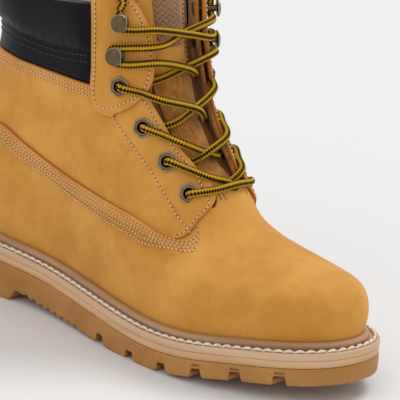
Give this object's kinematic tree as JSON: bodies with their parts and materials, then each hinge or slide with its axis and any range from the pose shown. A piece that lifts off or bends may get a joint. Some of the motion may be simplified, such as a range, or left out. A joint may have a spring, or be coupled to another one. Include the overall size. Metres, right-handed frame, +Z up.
{
  "type": "steel toe work boot",
  "caption": "Lace-up ankle work boot for the right foot with a steel toe cap, padded collar, bellows tongue and lugged rubber sole.",
  "frame": {"origin": "on the floor plane, under the middle of the sole's bounding box", "axes": "+X from heel to toe, +Y to the inner (medial) side of the foot, +Z up"},
  "size_m": [0.3, 0.1032, 0.1997],
  "materials": {
    "gum_rubber": "matt gum rubber",
    "midsole_rubber": "matt beige rubber",
    "nubuck": "honey nubuck leather, slightly nappy",
    "suede": "rough brown suede side",
    "black_leather": "soft smooth black leather",
    "lining_fabric": "textile lining",
    "foam": "open cell foam",
    "board": "cellulose board and cork",
    "steel": "coated pressed steel",
    "antique_metal": "antique gunmetal plate",
    "lace_cord": "round woven lace, yellow with dark stripes",
    "lace_tip": "dark acetate tip"
  },
  "bodies": {
    "boot": {"outsole": "gum_rubber", "midsole": "midsole_rubber", "welt": "midsole_rubber", "rand": "midsole_rubber", "bottom_filler": "board", "shank": "steel", "insole_board": "board", "steel_toe_cap": "steel", "toe_cap_edge_strip": "foam", "heel_counter": "lining_fabric", "vamp": "nubuck", "vamp_lining": "lining_fabric", "quarter_outer": "nubuck", "quarter_inner": "nubuck", "backstay": "nubuck", "hook_stay_outer": "nubuck", "hook_stay_inner": "nubuck", "facing_lining_outer": "suede", "facing_lining_inner": "suede", "collar_cover_outer": "black_leather", "collar_cover_inner": "black_leather", "collar_foam": "foam", "collar_band": "black_leather", "shaft_padding": "foam", "shaft_lining": "lining_fabric", "gusset_outer": "suede", "gusset_inner": "suede", "eyelet_outer_1": "antique_metal", "eyelet_outer_2": "antique_metal", "eyelet_outer_3": "antique_metal", "eyelet_outer_4": "antique_metal", "eyelet_inner_1": "antique_metal", "eyelet_inner_2": "antique_metal", "eyelet_inner_3": "antique_metal", "eyelet_inner_4": "antique_metal", "eyelet_washers": "antique_metal", "hook_outer_1": "antique_metal", "hook_outer_2": "antique_metal", "hook_inner_1": "antique_metal", "hook_inner_2": "antique_metal", "hook_rivets": "antique_metal", "lace": "lace_cord", "lace_end_outer": "lace_cord", "lace_end_inner": "lace_cord", "aglet_outer": "lace_tip", "aglet_inner": "lace_tip"},
    "tongue": {"tongue_face": "nubuck", "tongue_patch": "suede", "tongue_foam": "foam", "tongue_lining": "lining_fabric"},
    "footbed": {"footbed": "lining_fabric"}
  },
  "joints": [
    {"name": "tongue_tilt", "type": "hinge", "parent": "boot", "child": "tongue", "pos_m": [0.049, 0.00265, 0.082], "axis": [0, -1, 0], "range_deg": [0, 8]},
    {"name": "footbed_lift", "type": "hinge", "parent": "boot", "child": "footbed", "pos_m": [0.13, 0.00265, 0.027], "axis": [0, 1, 0], "range_deg": [0, 6]}
  ]
}
